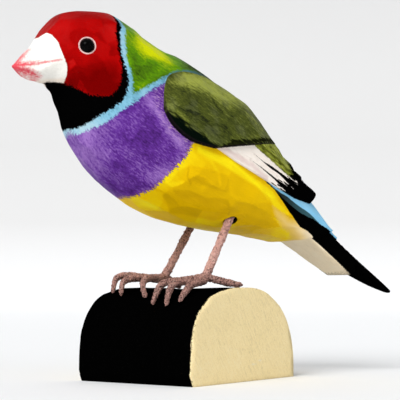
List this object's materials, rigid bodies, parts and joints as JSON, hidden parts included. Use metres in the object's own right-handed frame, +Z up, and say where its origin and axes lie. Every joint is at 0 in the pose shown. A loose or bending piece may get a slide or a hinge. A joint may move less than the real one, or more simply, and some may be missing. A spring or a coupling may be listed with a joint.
{
  "type": "finch wood carving",
  "caption": "Painted wooden finch with folded wings and a pointed tail, on metal legs that grip a sawn half-log plinth.",
  "frame": {"origin": "centre of the half log's flat underside", "axes": "+Z up, the bird's beak towards -Y and its tail towards +Y, its left wing towards +X"},
  "size_m": [0.0576, 0.1254, 0.1033],
  "materials": {
    "painted_carving": "satin",
    "bead_eye": "gloss",
    "painted_legs": "satin",
    "painted_log": "satin"
  },
  "bodies": {
    "root": {"log_base": "painted_log", "finch_body": "painted_carving", "eye_left": "bead_eye", "eye_right": "bead_eye", "leg_left": "painted_legs", "leg_right": "painted_legs"}
  },
  "joints": []
}
